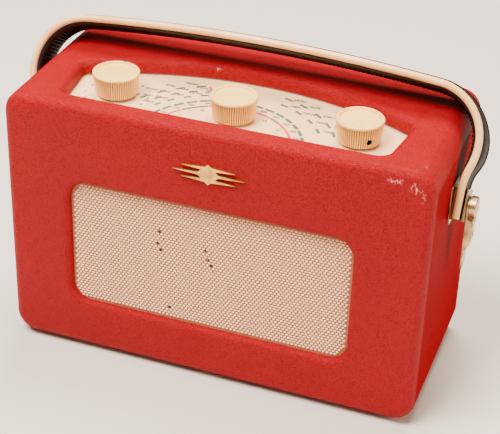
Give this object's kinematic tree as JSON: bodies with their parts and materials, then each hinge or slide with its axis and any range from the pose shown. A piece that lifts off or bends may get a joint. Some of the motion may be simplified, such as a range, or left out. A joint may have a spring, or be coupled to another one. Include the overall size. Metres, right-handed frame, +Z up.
{
  "type": "portable transistor radio",
  "caption": "Leathercloth-covered portable transistor radio with a padded strap handle, top dial with knobs, woven speaker grille, hinged rear door and a turntable base.",
  "frame": {"origin": "on the ground, under the middle of the case, in the underside of the turntable's felt", "axes": "+X to the radio's right as seen from the front, +Y to its rear, +Z up"},
  "size_m": [0.2612, 0.1078, 0.1778],
  "materials": {
    "red_leathercloth": "embossed grain, semi-gloss",
    "plywood": "unfinished ply",
    "hardboard": "dark hardboard",
    "woven_grille": "cream woven mesh",
    "ivory_plastic": "aged ivory, polished",
    "clear_acrylic": "clear, polished",
    "dial_print": "cream print",
    "gilt_metal": "bright gilt",
    "bright_nickel": "worn bright nickel",
    "zinc_steel": "zinc plated",
    "chassis_steel": "dull plated",
    "brass_spindle": "turned",
    "black_plastic": "moulded",
    "board_laminate": "paper laminate",
    "aluminium_can": "drawn can",
    "lacquered_iron": "black",
    "ferrite": "sintered",
    "coil_copper": "enamelled wire, waxed",
    "cone_paper": "felted",
    "battery_card": "printed card",
    "black_leather": "soft, padded",
    "cream_piping": "smooth cord",
    "green_felt": "felt",
    "black_felt": "felt"
  },
  "bodies": {
    "cabinet": {"cabinet_shell": "plywood", "cabinet_covering": "red_leathercloth", "speaker_grille": "woven_grille", "speaker_baffle": "hardboard", "speaker_frame": "zinc_steel", "speaker_cone": "cone_paper", "speaker_magnet": "lacquered_iron", "speaker_screws": "zinc_steel", "badge": "gilt_metal", "dial_window": "clear_acrylic", "dial_plate": "dial_print", "knob_washers": "black_felt", "chassis_plate": "chassis_steel", "chassis_screws": "zinc_steel", "control_nuts": "brass_spindle", "volume_control": "aluminium_can", "wave_switch": "board_laminate", "capacitor_frame": "chassis_steel", "circuit_board": "board_laminate", "board_spacers": "zinc_steel", "if_cans": "aluminium_can", "transistors": "aluminium_can", "electrolytics": "aluminium_can", "transformers": "lacquered_iron", "ferrite_rod": "ferrite", "aerial_coils": "coil_copper", "rod_holders": "black_plastic", "battery": "battery_card", "battery_snaps": "black_plastic", "hinge_leaf_cabinet": "bright_nickel", "hinge_pin": "zinc_steel", "handle_bracket_left": "bright_nickel", "handle_bracket_right": "bright_nickel", "bracket_nails": "bright_nickel", "handle_studs": "bright_nickel"},
    "volume_spindle": {"knob_volume": "ivory_plastic", "grub_screw_volume": "zinc_steel", "spindle_volume": "brass_spindle"},
    "tuning_spindle": {"knob_tuning": "ivory_plastic", "grub_screw_tuning": "zinc_steel", "spindle_tuning": "brass_spindle", "tuning_cursor": "clear_acrylic", "capacitor_rotor": "aluminium_can"},
    "band_spindle": {"knob_band": "ivory_plastic", "grub_screw_band": "zinc_steel", "spindle_band": "brass_spindle"},
    "door": {"rear_door": "plywood", "rear_door_covering": "red_leathercloth", "hinge_leaf_door": "bright_nickel"},
    "door_catch": {"rear_catch": "bright_nickel"},
    "turntable": {"turntable_felt": "green_felt", "turntable_plate": "zinc_steel", "turntable_pivot": "zinc_steel"},
    "handle": {"handle_strap": "black_leather", "strap_piping_front": "cream_piping", "strap_piping_rear": "cream_piping", "strap_end_left": "bright_nickel", "strap_end_right": "bright_nickel"},
    "left_lever": {"catch_lever_left": "bright_nickel"},
    "right_lever": {"catch_lever_right": "bright_nickel"}
  },
  "joints": [
    {"name": "volume_turn", "type": "hinge", "parent": "cabinet", "child": "volume_spindle", "pos_m": [-0.0677, -0.015, 0.15], "axis": [0, 0, 1], "range_deg": [-40, 230]},
    {"name": "tuning_turn", "type": "hinge", "parent": "cabinet", "child": "tuning_spindle", "pos_m": [0, -0.0165, 0.15], "axis": [0, 0, 1], "range_deg": [-130, 46]},
    {"name": "band_turn", "type": "hinge", "parent": "cabinet", "child": "band_spindle", "pos_m": [0.0677, -0.015, 0.15], "axis": [0, 0, 1], "range_deg": [-60, 0]},
    {"name": "door_hinge", "type": "hinge", "parent": "cabinet", "child": "door", "pos_m": [0, 0.0532, 0.0114], "axis": [-1, 0, 0], "range_deg": [0, 90]},
    {"name": "door_catch_turn", "type": "hinge", "parent": "door", "child": "door_catch", "pos_m": [0, 0.05, 0.1347], "axis": [0, 1, 0], "range_deg": [0, 90]},
    {"name": "turntable_turn", "type": "hinge", "parent": "cabinet", "child": "turntable", "pos_m": [0, 0, 0.002], "axis": [0, 0, 1], "continuous": true},
    {"name": "handle_swing", "type": "hinge", "parent": "cabinet", "child": "handle", "pos_m": [0, -0.003, 0.1155], "axis": [1, 0, 0], "range_deg": [0, 60]},
    {"name": "left_lever_swing", "type": "hinge", "parent": "cabinet", "child": "left_lever", "pos_m": [-0.1263, -0.003, 0.1155], "axis": [1, 0, 0], "range_deg": [-60, 60]},
    {"name": "right_lever_swing", "type": "hinge", "parent": "cabinet", "child": "right_lever", "pos_m": [0.1263, -0.003, 0.1155], "axis": [1, 0, 0], "range_deg": [-60, 60]}
  ]
}
